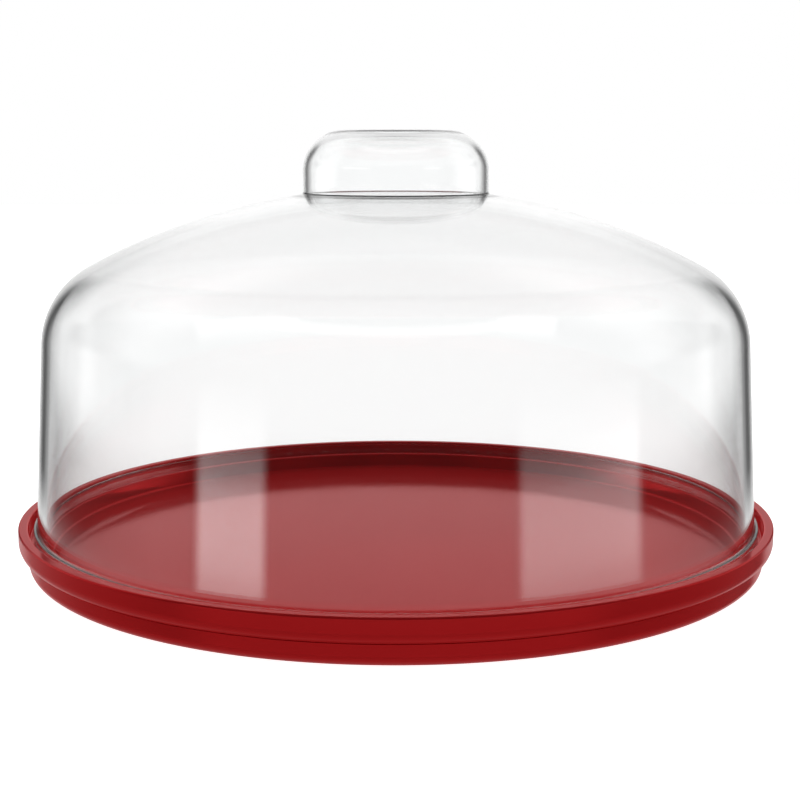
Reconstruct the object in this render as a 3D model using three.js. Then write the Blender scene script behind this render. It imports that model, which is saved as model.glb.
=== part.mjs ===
// Round serving tray with a clear bell-shaped dome, in millimetres, +Z up, resting on Z = 0.
//
// Four plastic mouldings, each a solid of revolution about the Z axis:
//   tray       floor, well wall, seat ledge, raised rim and outer skirt
//   base_ring  bulged foot ring, pressed up into the pocket under the skirt
//   dome       clear bell with a foot bead and a shallow crown, flat in the middle
//   knob       clear hollow cap, welded by its foot to the flat of the crown
// The dome and its knob lift straight off.

import * as THREE from 'three';

// Driving dimensions
const TRAY_RADIUS = 160; // outside of the rim
const RIM_TOP = 20.5; // table to the top of the rim
const OVERALL_HEIGHT = 182.9; // table to the top of the knob
const KNOB_RADIUS = 39.2; // outside of the knob
const KNOB_RISE = 26.7; // flat of the crown to the top of the knob
const TRAY_WALL = 2.6; // wall of the two red mouldings
const DOME_WALL = 3.5; // wall of the dome
const KNOB_WALL = 2.9; // wall of the knob

// Tray
const RIM_LAND = 4; // width of the rim's top
const RIM_DRAFT = 0.5; // how far the rim's inner wall draws in towards the ledge
const SKIRT_ROUND = 5.5; // height of the turn-under below the rim's side
const SEAM_HEIGHT = 9.6; // table to the seam between tray and foot ring
const LEDGE_DROP = 5.3; // rim top down to the seat ledge
const LEDGE_WIDTH = 7; // seat ledge, rim wall to well wall
const WELL_DEPTH = 6.6; // seat ledge down to the floor
const WELL_DRAFT = 1.1; // how far the well wall draws in towards the floor

// Foot ring
const FOOT_BULGE_R = 10.4; // bulged side: across ...
const FOOT_BULGE_Z = 5.9; // ... and up
const FOOT_SHOULDER = 2.6; // shoulder at the seam, from the bulge in to the spigot
const FOOT_FLANGE = 3; // flat land that stands on the table
const SPIGOT = 2; // wall of the part that goes up into the tray

// Dome
const WALL_DRAFT = THREE.MathUtils.degToRad(3.2);
const SHOULDER_RADIUS = 36.5;
const CROWN_RADIUS = 270;
const BEAD = 1.5; // how far the foot bead stands out from the wall
const BEAD_HEIGHT = 4.3;
const KNOB_CORNER = 17;
const KNOB_CROWN = 0.3; // how far the knob's top rises in the middle
const KNOB_LAND = 0.9; // flat of the crown that shows round the knob's foot

// Clearances
const FIT_GAP = 0.3; // between faces that touch on the real object
const SEAT_CLEARANCE = 1.7; // dome's bead to the rim, all round

const SEGMENTS = 72;

// Levels and radii that follow from the sizes above
const ledgeZ = RIM_TOP - LEDGE_DROP;
const floorZ = ledgeZ - WELL_DEPTH;
const underZ = floorZ - TRAY_WALL;
const rimInner = TRAY_RADIUS - RIM_LAND;
const ledgeOuter = rimInner - RIM_DRAFT;
const ledgeInner = ledgeOuter - LEDGE_WIDTH;
const floorRadius = ledgeInner - WELL_DRAFT;
const lipZ = SEAM_HEIGHT + FIT_GAP / 2;
const pocketZ = ledgeZ - TRAY_WALL;
const spigotInner = ledgeInner + TRAY_WALL + FIT_GAP;
const spigotOuter = spigotInner + SPIGOT;
const crownFlatZ = OVERALL_HEIGHT - KNOB_RISE;

// Profile points [r, z] along an ellipse about (r, z), from one angle to another in degrees.
function bend(r, z, halfR, halfZ, from, to, steps) {
  return Array.from({ length: steps + 1 }, (_, i) => {
    const a = THREE.MathUtils.degToRad(from + ((to - from) * i) / steps);
    return [r + halfR * Math.cos(a), z + halfZ * Math.sin(a)];
  });
}

function round(r, z, radius, from, to, steps = 3) {
  return bend(r, z, radius, radius, from, to, steps);
}

// Turns a profile about Z. The profile runs anticlockwise round the material.
function turned(name, profile, material) {
  const points = profile.map(([r, z]) => new THREE.Vector2(Math.max(r, 0), z));
  const geometry = new THREE.LatheGeometry(points, SEGMENTS).rotateX(Math.PI / 2);
  const mesh = new THREE.Mesh(geometry, material);
  mesh.name = name;
  return mesh;
}

const redPlastic = () =>
  new THREE.MeshStandardMaterial({ color: 0x8f1719, roughness: 0.2, metalness: 0 });

const clearPlastic = new THREE.MeshStandardMaterial({
  color: 0xf4f6f6,
  roughness: 0.05,
  metalness: 0,
  transparent: true,
  opacity: 0.25,
});

// Tray: underside from the axis outwards, skirt, rim, ledge, well wall, floor.
function makeTray() {
  const wellOuter = ledgeInner + TRAY_WALL;
  const pocketR = spigotOuter + FIT_GAP;
  return turned('tray', [
    [0, underZ],
    [wellOuter - WELL_DRAFT - 1.2, underZ],
    [wellOuter - WELL_DRAFT, underZ + 1],
    [wellOuter, pocketZ],
    [pocketR, pocketZ],
    [pocketR, lipZ],
    ...bend(pocketR, lipZ + SKIRT_ROUND, TRAY_RADIUS - pocketR, SKIRT_ROUND, -80, 0, 8),
    ...round(TRAY_RADIUS - 0.6, RIM_TOP - 0.6, 0.6, 0, 90, 3),
    ...round(rimInner + 0.6, RIM_TOP - 0.6, 0.6, 90, 180, 3),
    ...round(ledgeOuter - 0.6, ledgeZ + 0.6, 0.6, 0, -90, 2),
    ...round(ledgeInner + 0.8, ledgeZ - 0.8, 0.8, 90, 180, 3),
    ...round(floorRadius - 1.2, floorZ + 1.2, 1.2, 0, -90, 3),
    [0, floorZ],
  ], redPlastic());
}

// Foot ring: flat land, bulged side up to the seam, spigot, inner side back to the land.
function makeBaseRing() {
  const bulge = spigotOuter + FOOT_SHOULDER;
  const footOuter = bulge - FOOT_BULGE_R;
  const footInner = footOuter - FOOT_FLANGE;
  const shoulderZ = SEAM_HEIGHT - FIT_GAP / 2;
  const spigotTop = pocketZ - FIT_GAP;
  const innerZ = FOOT_BULGE_Z - 0.3;
  return turned('base_ring', [
    [footInner, 0],
    ...bend(footOuter, FOOT_BULGE_Z, FOOT_BULGE_R, FOOT_BULGE_Z, -90, 0, 8),
    [bulge, shoulderZ - 0.6],
    [bulge - 0.2, shoulderZ - 0.2],
    [bulge - 0.8, shoulderZ],
    [spigotOuter, shoulderZ],
    [spigotOuter, spigotTop - 0.4],
    [spigotOuter - 0.4, spigotTop],
    [spigotInner + 0.4, spigotTop],
    [spigotInner, spigotTop - 0.4],
    ...bend(footOuter, innerZ, spigotInner - footOuter, innerZ - TRAY_WALL, 0, -90, 6),
    [footInner, TRAY_WALL],
    [footInner, 0],
  ], redPlastic());
}

// Centre of the shoulder's arc: tangent inside to the crown's circle and to the drafted wall.
function shoulderCentre(footR, footZ, crownZ) {
  const [cos, sin] = [Math.cos(WALL_DRAFT), Math.sin(WALL_DRAFT)];
  const startR = footR - SHOULDER_RADIUS * cos;
  const startZ = footZ - SHOULDER_RADIUS * sin - crownZ;
  const along = startZ * cos - startR * sin;
  const reach = CROWN_RADIUS - SHOULDER_RADIUS;
  const square = startR ** 2 + startZ ** 2 - reach ** 2;
  const rise = -along + Math.sqrt(along ** 2 - square);
  return [startR - rise * sin, startZ + rise * cos + crownZ];
}

// Dome: inner side from the axis down to the seat, bead, outer side up to the crown's flat.
function makeDome() {
  const seatZ = ledgeZ + FIT_GAP;
  const beadR = ledgeOuter - SEAT_CLEARANCE;
  const wallR = beadR - BEAD;
  const beadTop = seatZ + BEAD_HEIGHT;
  const flatR = KNOB_RADIUS + KNOB_LAND;
  const crownZ = crownFlatZ - Math.sqrt(CROWN_RADIUS ** 2 - flatR ** 2);
  const [sr, sz] = shoulderCentre(wallR, beadTop, crownZ);
  const draft = THREE.MathUtils.radToDeg(WALL_DRAFT);
  const tangent = THREE.MathUtils.radToDeg(Math.atan2(sz - crownZ, sr));
  const flatEdge = (radius, z) => THREE.MathUtils.radToDeg(Math.asin((z - crownZ) / radius));
  const innerCrown = CROWN_RADIUS - DOME_WALL;
  const innerFlatZ = crownFlatZ - DOME_WALL;
  const innerWallR = wallR - DOME_WALL / Math.cos(WALL_DRAFT);

  return turned('dome', [
    [0, innerFlatZ],
    ...round(0, crownZ, innerCrown, flatEdge(innerCrown, innerFlatZ), tangent, 6),
    ...round(sr, sz, SHOULDER_RADIUS - DOME_WALL, tangent, draft, 7).slice(1),
    [innerWallR + 0.3, seatZ + 1],
    [innerWallR + 0.9, seatZ],
    ...round(beadR - 0.5, seatZ + 0.5, 0.5, -90, 0, 2),
    ...round(beadR - 0.5, beadTop - 0.5, 0.5, 0, 80, 3),
    [wallR + 0.3, beadTop + 0.1],
    [wallR - 0.05, beadTop + 1],
    ...round(sr, sz, SHOULDER_RADIUS, draft, tangent, 7),
    ...round(0, crownZ, CROWN_RADIUS, tangent, flatEdge(CROWN_RADIUS, crownFlatZ), 6).slice(1),
    [0, crownFlatZ],
  ], clearPlastic);
}

// Knob: roof of the hollow, inner wall down to the foot, outer wall up to the top.
function makeKnob() {
  const foot = crownFlatZ + FIT_GAP;
  const roof = OVERALL_HEIGHT - KNOB_WALL;
  const innerCorner = KNOB_CORNER - KNOB_WALL;
  const cornerR = KNOB_RADIUS - KNOB_CORNER;
  return turned('knob', [
    [0, roof],
    ...round(cornerR, roof - innerCorner, innerCorner, 90, 0, 6),
    [KNOB_RADIUS - KNOB_WALL, foot],
    [KNOB_RADIUS, foot],
    ...round(cornerR, OVERALL_HEIGHT - KNOB_CORNER - KNOB_CROWN, KNOB_CORNER, 0, 90, 7),
    [0, OVERALL_HEIGHT],
  ], clearPlastic);
}

const domedTray = new THREE.Group();
domedTray.name = 'domed_tray';
domedTray.add(makeTray(), makeBaseRing(), makeDome(), makeKnob());

export default domedTray;
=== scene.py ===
import math

import bpy
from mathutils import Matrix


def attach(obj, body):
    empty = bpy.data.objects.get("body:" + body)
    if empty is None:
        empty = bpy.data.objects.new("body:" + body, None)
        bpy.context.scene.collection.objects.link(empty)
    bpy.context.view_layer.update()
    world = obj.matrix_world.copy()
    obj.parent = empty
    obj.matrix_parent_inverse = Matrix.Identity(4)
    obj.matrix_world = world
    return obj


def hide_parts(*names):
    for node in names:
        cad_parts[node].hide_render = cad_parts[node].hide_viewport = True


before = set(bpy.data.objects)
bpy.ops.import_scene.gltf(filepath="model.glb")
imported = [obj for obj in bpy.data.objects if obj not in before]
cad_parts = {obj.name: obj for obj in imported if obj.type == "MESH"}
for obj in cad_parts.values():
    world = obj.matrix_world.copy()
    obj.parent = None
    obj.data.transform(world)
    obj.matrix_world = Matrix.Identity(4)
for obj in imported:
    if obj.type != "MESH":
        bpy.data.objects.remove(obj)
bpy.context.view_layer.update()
bpy.ops.object.select_all(action="DESELECT")


# ---------------------------------------------------------------------------
# Foot ring: one injection moulding in glossy red plastic. It stands on a
# narrow flat land, bulges out under the tray, and its upright spigot is
# pressed into the pocket under the tray's skirt.

MM = 0.001  # sections are drawn in millimetres
LAND_IN, LAND_OUT = 142.6, 145.6  # flat land that stands on the table
BULGE_R, BULGE_Z = 156.0, 5.9  # outside of the ring, and the height of its bulge
SEAM_Z = 9.6  # shoulder under the tray's skirt
SPIGOT_IN, SPIGOT_OUT, SPIGOT_TOP = 151.4, 153.4, 12.3
RED_WALL = 2.6


def bend(r, z, half_r, half_z, start, stop, steps):
    """Section points (r, z) in millimetres along an ellipse, angles in degrees."""
    points = []
    for i in range(steps + 1):
        a = math.radians(start + (stop - start) * i / steps)
        points.append((r + half_r * math.cos(a), z + half_z * math.sin(a)))
    return points


def turned(name, section, steps=256):
    """A round moulding: its half section drawn by extruding a point, then spun about Z."""
    # Points that fall on the one before them are dropped.
    section = [
        p for i, p in enumerate(section) if i == 0 or math.dist(p, section[i - 1]) > 0.005
    ]
    bpy.ops.mesh.primitive_plane_add(size=0.001)
    piece = bpy.context.object
    piece.name = piece.data.name = name
    bpy.ops.object.mode_set(mode="EDIT")
    bpy.ops.mesh.select_all(action="SELECT")
    bpy.ops.mesh.merge(type="CENTER")
    r, z = section[0]
    bpy.ops.transform.translate(value=(r * MM, 0, z * MM))
    for r_next, z_next in section[1:]:
        step = ((r_next - r) * MM, 0, (z_next - z) * MM)
        bpy.ops.mesh.extrude_region_move(TRANSFORM_OT_translate={"value": step})
        r, z = r_next, z_next
    bpy.ops.mesh.select_all(action="SELECT")
    bpy.ops.mesh.spin(steps=steps, angle=math.tau, center=(0, 0, 0), axis=(0, 0, 1))
    bpy.ops.mesh.select_all(action="SELECT")
    bpy.ops.mesh.remove_doubles(threshold=0.000002)
    bpy.ops.mesh.normals_make_consistent(inside=False)
    bpy.ops.object.mode_set(mode="OBJECT")
    bpy.ops.object.shade_smooth_by_angle(angle=math.radians(35))
    bpy.ops.object.transform_apply(location=True, rotation=True, scale=True)
    piece.select_set(False)
    return piece


def node(tree, kind, **values):
    made = tree.nodes.new(kind)
    for key, value in values.items():
        setattr(made, key, value)
    return made


def red_plastic(name, satin_radius=None):
    """Glossy red polystyrene: even colour with faint flow marks and a little orange peel."""
    mat = bpy.data.materials.new(name)
    mat.use_nodes = True
    tree = mat.node_tree
    link = tree.links.new
    shader = tree.nodes["Principled BSDF"]
    # Part of the reflection takes the plastic's colour, as with a metallic pigment.
    shader.inputs["Metallic"].default_value = 0.38
    shader.inputs["Specular IOR Level"].default_value = 0.0
    coords = node(tree, "ShaderNodeTexCoord")

    flow = node(tree, "ShaderNodeTexNoise")
    flow.inputs["Scale"].default_value = 14
    flow.inputs["Detail"].default_value = 3
    link(coords.outputs["Object"], flow.inputs["Vector"])
    tint = node(tree, "ShaderNodeValToRGB")
    tint.color_ramp.elements[0].position = 0.3
    tint.color_ramp.elements[0].color = (0.51, 0.0148, 0.0168, 1)
    tint.color_ramp.elements[1].position = 0.7
    tint.color_ramp.elements[1].color = (0.53, 0.0158, 0.0178, 1)
    link(flow.outputs["Fac"], tint.inputs["Fac"])
    link(tint.outputs["Color"], shader.inputs["Base Color"])

    peel = node(tree, "ShaderNodeTexNoise")
    peel.inputs["Scale"].default_value = 420
    peel.inputs["Detail"].default_value = 2
    link(coords.outputs["Object"], peel.inputs["Vector"])
    bump = node(tree, "ShaderNodeBump")
    bump.inputs["Strength"].default_value = 0.05
    bump.inputs["Distance"].default_value = 0.0002
    link(peel.outputs["Fac"], bump.inputs["Height"])
    link(bump.outputs["Normal"], shader.inputs["Normal"])

    wear = node(tree, "ShaderNodeTexNoise")
    wear.inputs["Scale"].default_value = 60
    wear.inputs["Detail"].default_value = 4
    link(coords.outputs["Object"], wear.inputs["Vector"])
    gloss = node(tree, "ShaderNodeMapRange")
    gloss.inputs["To Min"].default_value = 0.06
    gloss.inputs["To Max"].default_value = 0.11
    link(wear.outputs["Fac"], gloss.inputs["Value"])
    rough = gloss.outputs["Result"]
    if satin_radius:
        # The floor is finely textured in the mould, inside the well wall only.
        flat = node(tree, "ShaderNodeVectorMath", operation="MULTIPLY")
        flat.inputs[1].default_value = (1, 1, 0)
        link(coords.outputs["Object"], flat.inputs[0])
        reach = node(tree, "ShaderNodeVectorMath", operation="LENGTH")
        link(flat.outputs["Vector"], reach.inputs[0])
        inside = node(tree, "ShaderNodeMapRange")
        inside.inputs["From Min"].default_value = (satin_radius - 1.0) * MM
        inside.inputs["From Max"].default_value = satin_radius * MM
        inside.inputs["To Min"].default_value = 0.04
        inside.inputs["To Max"].default_value = 0.0
        link(reach.outputs["Value"], inside.inputs["Value"])
        total = node(tree, "ShaderNodeMath", operation="ADD")
        link(gloss.outputs["Result"], total.inputs[0])
        link(inside.outputs["Result"], total.inputs[1])
        rough = total.outputs["Value"]
    link(rough, shader.inputs["Roughness"])
    return mat


# In every section a point about 0.1 mm from a rounding keeps the flat beside it evenly shaded.
foot_ring = turned("foot_ring", [
    (LAND_IN, 0.0),
    (LAND_IN + 0.1, 0.0),
    (LAND_OUT - 0.1, 0.0),
    *bend(LAND_OUT, BULGE_Z, BULGE_R - LAND_OUT, BULGE_Z, -90, 0, 28),
    (BULGE_R, BULGE_Z + 0.1),
    (BULGE_R, SEAM_Z + 0.17),
    *bend(BULGE_R - 0.15, SEAM_Z + 0.2, 0.15, 0.15, 0, 90, 4),
    (BULGE_R - 0.3, SEAM_Z + 0.33),
    (BULGE_R - 1.4, SEAM_Z + 0.06),
    (SPIGOT_OUT, SEAM_Z),
    *bend(SPIGOT_OUT - 0.4, SPIGOT_TOP - 0.4, 0.4, 0.4, 0, 90, 3),
    *bend(SPIGOT_IN + 0.4, SPIGOT_TOP - 0.4, 0.4, 0.4, 90, 180, 3),
    *bend(LAND_OUT, BULGE_Z - 0.3, SPIGOT_IN - LAND_OUT, BULGE_Z - 0.3 - RED_WALL, 0, -90, 12),
    (LAND_IN, RED_WALL),
    (LAND_IN, 0.0),
])
foot_ring.data.materials.append(red_plastic("red_plastic_ring"))
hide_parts("base_ring")
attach(foot_ring, "tray_body")


# ---------------------------------------------------------------------------
# Tray: one injection moulding in the same red plastic. A flat satin floor,
# a low drafted well wall, the ledge that the dome stands on, a raised rim
# with a flat polished top, and a skirt that turns under to the seam.

RIM_R, RIM_IN, RIM_TOP = 160.0, 156.0, 20.5
LEDGE_IN, LEDGE_OUT, LEDGE_Z = 148.5, 155.5, 15.2
FLOOR_R, FLOOR_Z = 147.4, 8.6  # the floor, out to the foot of the well wall
UNDER_R, UNDER_Z = 149.0, 6.0
POCKET_R, POCKET_Z, LIP_Z = 153.7, 12.6, 9.7  # pocket for the foot ring's spigot
SKIRT = 5.5  # height of the turn-under below the rim's side

tray = turned("tray_moulding", [
    (0.0, UNDER_Z),
    (90.0, UNDER_Z),
    (UNDER_R - 0.1, UNDER_Z),
    *bend(UNDER_R, UNDER_Z + 0.9, 0.9, 0.9, -90, -10, 4),
    (LEDGE_IN + RED_WALL, POCKET_Z),
    (POCKET_R, POCKET_Z),
    (POCKET_R, LIP_Z),
    *bend(POCKET_R, LIP_Z + SKIRT, RIM_R - POCKET_R, SKIRT, -84, 0, 24),
    (RIM_R, LIP_Z + SKIRT + 0.1),
    (RIM_R, RIM_TOP - 0.8),
    *bend(RIM_R - 0.7, RIM_TOP - 0.7, 0.7, 0.7, 0, 90, 8),
    (RIM_R - 0.8, RIM_TOP),
    (RIM_IN + 0.7, RIM_TOP),
    *bend(RIM_IN + 0.6, RIM_TOP - 0.6, 0.6, 0.6, 90, 180, 6),
    (RIM_IN, RIM_TOP - 0.65),
    (LEDGE_OUT + 0.01, LEDGE_Z + 0.65),
    *bend(LEDGE_OUT - 0.6, LEDGE_Z + 0.6, 0.6, 0.6, 0, -90, 5),
    (LEDGE_OUT - 0.7, LEDGE_Z),
    (LEDGE_IN + 0.9, LEDGE_Z),
    *bend(LEDGE_IN + 0.8, LEDGE_Z - 0.8, 0.8, 0.8, 90, 180, 6),
    (LEDGE_IN - 0.02, LEDGE_Z - 0.9),
    (FLOOR_R + 0.01, FLOOR_Z + 1.3),
    *bend(FLOOR_R - 1.2, FLOOR_Z + 1.2, 1.2, 1.2, 0, -90, 7),
    (FLOOR_R - 1.3, FLOOR_Z),
    (100.0, FLOOR_Z),
    (0.0, FLOOR_Z),
])
tray.data.materials.append(red_plastic("red_plastic_tray", satin_radius=FLOOR_R - 0.9))
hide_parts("tray")
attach(tray, "tray_body")


# ---------------------------------------------------------------------------
# Dome: one clear moulding, 3.5 mm thick, with a bead round its foot, a
# drafted wall, a rounded shoulder and a shallow crown that is flat in the
# middle, where the knob sits. It is loose: it stands on the tray's ledge.

DRAFT = math.radians(3.2)  # lean of the wall
SHOULDER, CROWN = 36.5, 270.0  # outside radii of the two arcs
SEAT_Z, BEAD_TOP, FLAT_Z = 15.5, 19.8, 156.2  # foot, top of its bead, flat of the crown
BEAD_R, FLAT_R = 153.8, 40.1
WALL_R = BEAD_R - 1.5  # outside of the wall at the top of the bead
DOME_WALL = 3.5
WELD_IN, WELD_OUT = 36.3, 39.7  # ring where the knob is welded on
CROWN_Z = FLAT_Z - math.sqrt(CROWN**2 - FLAT_R**2)  # centre of the crown's arc


def shoulder_centre():
    """Centre of the shoulder's arc, tangent to the drafted wall and to the crown."""
    cos, sin = math.cos(DRAFT), math.sin(DRAFT)
    start_r = WALL_R - SHOULDER * cos
    start_z = BEAD_TOP - SHOULDER * sin - CROWN_Z
    along = start_z * cos - start_r * sin
    square = start_r**2 + start_z**2 - (CROWN - SHOULDER) ** 2
    rise = -along + math.sqrt(along**2 - square)
    return start_r - rise * sin, start_z + rise * cos + CROWN_Z


sr, sz = shoulder_centre()
draft = math.degrees(DRAFT)
meet = math.degrees(math.atan2(sz - CROWN_Z, sr))
outer_edge = math.degrees(math.asin((FLAT_Z - CROWN_Z) / CROWN))
inner_crown = CROWN - DOME_WALL
inner_edge = math.degrees(math.asin((FLAT_Z - DOME_WALL - CROWN_Z) / inner_crown))
inner_foot = WALL_R - DOME_WALL / math.cos(DRAFT)


def wall_point(r, z):
    """A point of the straight wall; r is the wall's radius at the top of the bead."""
    return r + (BEAD_TOP - z) * math.tan(DRAFT), z


dome = turned("clear_dome", [
    (0.0, FLAT_Z - DOME_WALL),
    (20.0, FLAT_Z - DOME_WALL),
    (38.6, FLAT_Z - DOME_WALL),
    (39.4, FLAT_Z - DOME_WALL - 0.03),
    *bend(0, CROWN_Z, inner_crown, inner_crown, inner_edge - 0.25, meet, 28),
    *bend(sr, sz, SHOULDER - DOME_WALL, SHOULDER - DOME_WALL, meet, draft, 24),
    wall_point(inner_foot, sz),
    wall_point(inner_foot, SEAT_Z + 2.4),
    wall_point(inner_foot, SEAT_Z + 2.0),
    (inner_foot + 0.4, SEAT_Z + 0.9),
    (inner_foot + 0.9, SEAT_Z),
    *bend(BEAD_R - 0.5, SEAT_Z + 0.5, 0.5, 0.5, -90, 0, 5),
    *bend(BEAD_R - 0.45, BEAD_TOP - 0.45, 0.45, 0.45, 0, 85, 8),
    (WALL_R + 0.5, BEAD_TOP + 0.05),
    (WALL_R + 0.2, BEAD_TOP + 0.2),
    (WALL_R + 0.02, BEAD_TOP + 0.5),
    wall_point(WALL_R, BEAD_TOP + 1.0),
    wall_point(WALL_R, BEAD_TOP + 1.3),
    wall_point(WALL_R, sz + 1.6),
    *bend(sr, sz, SHOULDER, SHOULDER, draft, meet, 26),
    *bend(0, CROWN_Z, CROWN, CROWN, meet, outer_edge - 0.2, 28),
    (WELD_OUT, FLAT_Z),
    (WELD_IN, FLAT_Z),
    (20.0, FLAT_Z),
    (0.0, FLAT_Z),
])


def open_weld(piece):
    """The weld is clear right through: no surface is left between crown and knob."""
    bpy.context.view_layer.objects.active = piece
    piece.select_set(True)
    bpy.ops.object.mode_set(mode="EDIT")
    bpy.ops.mesh.select_all(action="DESELECT")
    bpy.ops.object.mode_set(mode="OBJECT")
    for face in piece.data.polygons:
        x, y, z = face.center
        level = abs(z - FLAT_Z * MM) < 0.00001
        face.select = level and WELD_IN * MM < math.hypot(x, y) < WELD_OUT * MM
    bpy.ops.object.mode_set(mode="EDIT")
    bpy.ops.mesh.select_mode(type="FACE")
    bpy.ops.mesh.delete(type="ONLY_FACE")
    bpy.ops.mesh.select_mode(type="VERT")
    bpy.ops.object.mode_set(mode="OBJECT")
    piece.select_set(False)


open_weld(dome)


def clear_plastic(name):
    """Clear styrene: polished both sides, with a trace of moulding haze."""
    mat = bpy.data.materials.new(name)
    mat.use_nodes = True
    tree = mat.node_tree
    link = tree.links.new
    shader = tree.nodes["Principled BSDF"]
    shader.inputs["Base Color"].default_value = (0.985, 0.99, 0.99, 1)
    shader.inputs["IOR"].default_value = 1.53
    shader.inputs["Transmission Weight"].default_value = 1.0
    coords = node(tree, "ShaderNodeTexCoord")
    haze = node(tree, "ShaderNodeTexNoise")
    haze.inputs["Scale"].default_value = 35
    haze.inputs["Detail"].default_value = 5
    link(coords.outputs["Object"], haze.inputs["Vector"])
    rough = node(tree, "ShaderNodeMapRange")
    rough.inputs["From Min"].default_value = 0.35
    rough.inputs["From Max"].default_value = 0.75
    rough.inputs["To Min"].default_value = 0.0
    rough.inputs["To Max"].default_value = 0.02
    link(haze.outputs["Fac"], rough.inputs["Value"])
    link(rough.outputs["Result"], shader.inputs["Roughness"])
    return mat


dome.data.materials.append(clear_plastic("clear_plastic_dome"))
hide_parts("dome")
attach(dome, "dome_body")
# The dome takes no light from the tray: it casts no shadow and is left out of diffuse light.
dome.visible_shadow = False
dome.visible_diffuse = False


# ---------------------------------------------------------------------------
# Knob: a clear hollow cap, 2.9 mm thick, moulded on its own with a rounded
# top edge and an open foot. Its foot is cemented to the flat of the crown.

KNOB_R, KNOB_TOP, KNOB_CORNER, KNOB_WALL = 39.2, 182.9, 17.0, 2.9
roof = KNOB_TOP - KNOB_WALL
corner = KNOB_CORNER - KNOB_WALL
top_flat = KNOB_R - KNOB_CORNER

knob = turned("clear_knob", [
    (0.0, roof),
    (11.0, roof - 0.04),
    *bend(top_flat, roof - 0.2 - corner, corner, corner, 90, 0, 20),
    (WELD_IN, FLAT_Z + 0.1),
    (WELD_IN, FLAT_Z),
    (WELD_OUT, FLAT_Z),
    *bend(KNOB_R + 0.5, FLAT_Z + 0.6, 0.5, 0.6, -90, -180, 6),
    (KNOB_R, FLAT_Z + 0.7),
    *bend(top_flat, KNOB_TOP - 0.3 - KNOB_CORNER, KNOB_CORNER, KNOB_CORNER, 0, 90, 22),
    (14.0, KNOB_TOP - 0.12),
    (7.0, KNOB_TOP - 0.02),
    (0.0, KNOB_TOP),
])
open_weld(knob)
knob.data.materials.append(clear_plastic("clear_plastic_knob"))
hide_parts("knob")
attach(knob, "dome_body")
knob.visible_shadow = False
knob.visible_diffuse = False


# ---------------------------------------------------------------------------
# Setting: a plain white floor, a pale studio around it that is bright behind
# the object and dark in front and at the back corners, and two upright
# softboxes at the front corners.

bpy.ops.mesh.primitive_plane_add(size=8)
floor = bpy.context.object
floor.name = "floor"
floor_mat = bpy.data.materials.new("floor_white")
floor_mat.use_nodes = True
floor_shader = floor_mat.node_tree.nodes["Principled BSDF"]
floor_shader.inputs["Base Color"].default_value = (0.9, 0.9, 0.9, 1)
floor_shader.inputs["Roughness"].default_value = 1.0
floor_shader.inputs["Specular IOR Level"].default_value = 0.0
floor_shader.inputs["Emission Color"].default_value = (1, 1, 1, 1)
floor_shader.inputs["Emission Strength"].default_value = 1.0
floor.data.materials.append(floor_mat)
# Only the camera sees the floor, so its edge isn't mirrored or bent in the mouldings.
floor.visible_glossy = False
floor.visible_transmission = False
floor.visible_diffuse = False


world = bpy.data.worlds.new("studio")
bpy.context.scene.world = world
world.use_nodes = True
tree = world.node_tree
link = tree.links.new
tree.nodes.clear()
facing = node(tree, "ShaderNodeTexCoord")
parts = node(tree, "ShaderNodeSeparateXYZ")
link(facing.outputs["Generated"], parts.inputs["Vector"])
# Level with the object left and right are alike: the azimuth runs both ways from behind it.
across = node(tree, "ShaderNodeMath", operation="ABSOLUTE")
link(parts.outputs["X"], across.inputs[0])
azimuth = node(tree, "ShaderNodeMath", operation="ARCTAN2")
link(across.outputs["Value"], azimuth.inputs[0])
link(parts.outputs["Y"], azimuth.inputs[1])
height = node(tree, "ShaderNodeMath", operation="ARCSINE")
link(parts.outputs["Z"], height.inputs[0])


PEAK = 4.0  # a ramp's white; levels are held as shares of it


def ramp(source, stops):
    """A smooth curve through (degrees, value) stops, read from an angle in radians."""
    scaled = node(tree, "ShaderNodeMapRange")
    scaled.inputs["From Min"].default_value = math.radians(stops[0][0])
    scaled.inputs["From Max"].default_value = math.radians(stops[-1][0])
    link(source, scaled.inputs["Value"])
    curve = node(tree, "ShaderNodeValToRGB")
    curve.color_ramp.interpolation = "EASE"
    span = stops[-1][0] - stops[0][0]
    elements = curve.color_ramp.elements
    for i, (angle, value) in enumerate(stops):
        place = (angle - stops[0][0]) / span
        if i == 0:
            stop = elements[0]
        elif i == len(stops) - 1:
            stop = elements[len(elements) - 1]
        else:
            stop = elements.new(place)
        stop.position = place
        stop.color = (value / PEAK, value / PEAK, value / PEAK, 1)
    link(scaled.outputs["Result"], curve.inputs["Fac"])
    return curve.outputs["Color"]


def mask(source, stops):
    return ramp(source, [(angle, share * PEAK) for angle, share in stops])


def mixed(first, second, factor):
    mix = node(tree, "ShaderNodeMix", data_type="RGBA")
    link(factor, mix.inputs["Factor"])
    for socket, value in ((mix.inputs["A"], first), (mix.inputs["B"], second)):
        if isinstance(value, float):
            socket.default_value = (value / PEAK, value / PEAK, value / PEAK, 1)
        else:
            link(value, socket)
    return mix.outputs["Result"]


def both(first, second):
    times = node(tree, "ShaderNodeMath", operation="MULTIPLY")
    link(first, times.inputs[0])
    link(second, times.inputs[1])
    return times.outputs["Value"]


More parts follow.
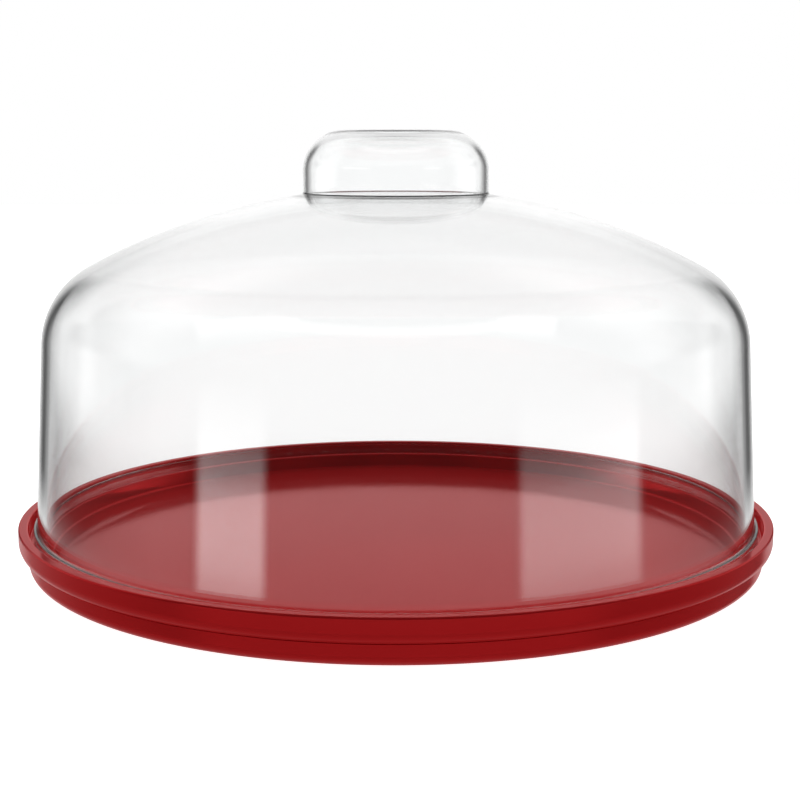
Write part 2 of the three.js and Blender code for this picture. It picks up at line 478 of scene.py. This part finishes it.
# The room's level at the height of the object, by the angle from straight behind it.
level = ramp(azimuth.outputs["Value"], [
    (0, 1.15), (10, 1.15), (14, 1.0), (18, 0.86), (21, 0.72), (24, 0.43), (27, 0.15), (30, 0.08),
    (33, 0.2), (36, 0.38), (42, 0.59), (48, 0.86), (54, 1.0), (60, 1.4), (67, 1.6), (73, 1.52),
    (79, 1.25), (85, 0.85), (91, 0.4), (99, 0.1), (112, 0.03), (180, 0.03)])
side = mask(azimuth.outputs["Value"], [(0, 0.0), (38, 0.0), (48, 1.0), (180, 1.0)])
sunk = mask(height.outputs["Value"], [(-90, 1.0), (-8.5, 1.0), (-5.5, 0.0), (90, 0.0)])
rear = mask(azimuth.outputs["Value"], [(0, 1.0), (80, 1.0), (110, 0.0), (180, 0.0)])

# Below the object the room is darker at the sides; turn is negative to the left.
turn = node(tree, "ShaderNodeMath", operation="ARCTAN2")
link(parts.outputs["X"], turn.inputs[0])
link(parts.outputs["Y"], turn.inputs[1])
ground = ramp(turn.outputs["Value"], [
    (-180, 0.62), (-130, 0.6), (-110, 0.3), (-80, 0.4), (-60, 0.5), (-43, 0.6), (-33, 1.0),
    (-20, 1.0), (0, 0.8), (20, 1.0), (33, 1.0), (43, 0.2), (60, 0.3), (80, 0.3), (110, 0.3),
    (130, 0.6), (180, 0.62)])

# Above it the room is bright behind, and dark in front but for one thin strip.
roof = ramp(height.outputs["Value"], [(0, 0.85), (45, 0.85), (58, 0.3), (68, 0.05), (90, 0.05)])
strip = ramp(height.outputs["Value"], [
    (0, 0.03), (55, 0.03), (57.5, 0.8), (66, 0.8), (68.5, 0.03), (90, 0.03)])
roof = mixed(strip, roof, rear)
high = mask(height.outputs["Value"], [(0, 0.0), (14, 0.0), (26, 1.0), (90, 1.0)])
low = mask(height.outputs["Value"], [(-90, 1.0), (-13.5, 1.0), (-10.3, 0.0), (90, 0.0)])
down = mask(height.outputs["Value"], [(-90, 1.0), (-45, 1.0), (-22, 0.0), (90, 0.0)])
lifted = mask(height.outputs["Value"], [(-90, 0.0), (1, 0.0), (9, 1.0), (90, 1.0)])
studio = mixed(level, 1.0, both(both(side, lifted), rear))
studio = mixed(studio, 0.05, both(side, sunk))
studio = mixed(studio, roof, high)
studio = mixed(studio, ground, low)
studio = mixed(studio, 0.4, down)

# Two upright softboxes low in front, left and right, that fade out upwards.
panels = mask(turn.outputs["Value"], [
    (-180, 0.0), (-142, 0.0), (-139, 1.0), (-120, 1.0), (-117, 0.0),
    (99, 0.0), (103, 0.65), (141, 0.65), (144, 0.0), (180, 0.0)])
glow = ramp(height.outputs["Value"], [
    (-90, 0.0), (-12, 0.0), (-10.8, 1.8), (-9.4, 2.7), (-8.2, 2.75), (-7.25, 2.65), (-5.8, 1.35),
    (-4.8, 0.65), (-3.5, 0.2), (-2, 0.0), (90, 0.0)])
boxes = mixed(0.0, glow, panels)
lit = node(tree, "ShaderNodeMix", data_type="RGBA", blend_type="ADD")
lit.inputs["Factor"].default_value = 1.0
link(studio, lit.inputs["A"])
link(boxes, lit.inputs["B"])
studio = lit.outputs["Result"]

path = node(tree, "ShaderNodeLightPath")
colour = mixed(studio, 1.0, path.outputs["Is Camera Ray"])
background = node(tree, "ShaderNodeBackground")
link(colour, background.inputs["Color"])
# The room's walls and ceiling light the red plastic more than they are mirrored in it.
fill = node(tree, "ShaderNodeMath", operation="MULTIPLY_ADD")
link(path.outputs["Is Diffuse Ray"], fill.inputs[0])
fill.inputs[1].default_value = 0.86 * PEAK
fill.inputs[2].default_value = PEAK
link(fill.outputs["Value"], background.inputs["Strength"])
out = node(tree, "ShaderNodeOutputWorld")
link(background.outputs["Background"], out.inputs["Surface"])

bpy.context.scene.view_settings.view_transform = "Standard"
bpy.context.scene.view_settings.look = "None"


# ---------------------------------------------------------------------------
# Camera: a 70 mm lens in front of the object, nearly as high as the top of
# the knob, looking slightly down.

TILT_DOWN = 9.282  # degrees
bpy.ops.object.camera_add(
    location=(0.0017, -0.6608, 0.1761), rotation=(math.radians(90 - TILT_DOWN), 0, 0)
)
camera = bpy.context.object
camera.name = "camera"
camera.data.lens = 70.0
camera.data.sensor_width = 36.0
camera.data.clip_start = 0.01
bpy.context.scene.camera = camera
